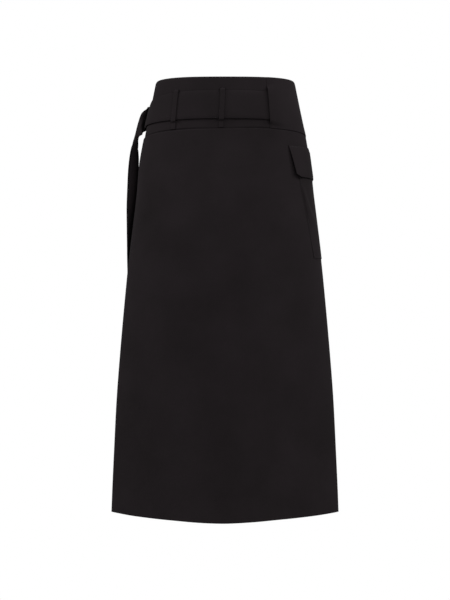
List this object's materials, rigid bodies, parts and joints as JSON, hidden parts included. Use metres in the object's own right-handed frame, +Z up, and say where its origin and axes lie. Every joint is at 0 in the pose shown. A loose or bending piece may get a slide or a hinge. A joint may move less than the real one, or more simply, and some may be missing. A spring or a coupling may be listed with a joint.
{
  "type": "belted a-line midi skirt",
  "caption": "Midi-length A-line skirt in near-black suiting with a deep waistband, tie belt through loops and a flapped patch pocket over one side seam, in its hollow worn shape.",
  "frame": {"origin": "middle of the waist at the belt's mid-height, where the wearer's waist holds the skirt", "axes": "+Z up, the skirt's back faces -Y and its front +Y, the pocket's side seam is at +X"},
  "size_m": [0.41, 0.2389, 0.767],
  "materials": {
    "suiting": "smooth matt crepe suiting, near black, with a faint soft sheen"
  },
  "bodies": {
    "root": {"skirt_back": "suiting", "skirt_front": "suiting", "waistband_back": "suiting", "waistband_front": "suiting", "waistband_casing": "suiting", "belt_back": "suiting", "belt_front": "suiting", "belt_knot": "suiting", "belt_tail_left": "suiting", "belt_tail_front": "suiting", "belt_loop_left": "suiting", "belt_loop_centre": "suiting", "pocket_bag": "suiting", "pocket_flap": "suiting"}
  },
  "joints": []
}
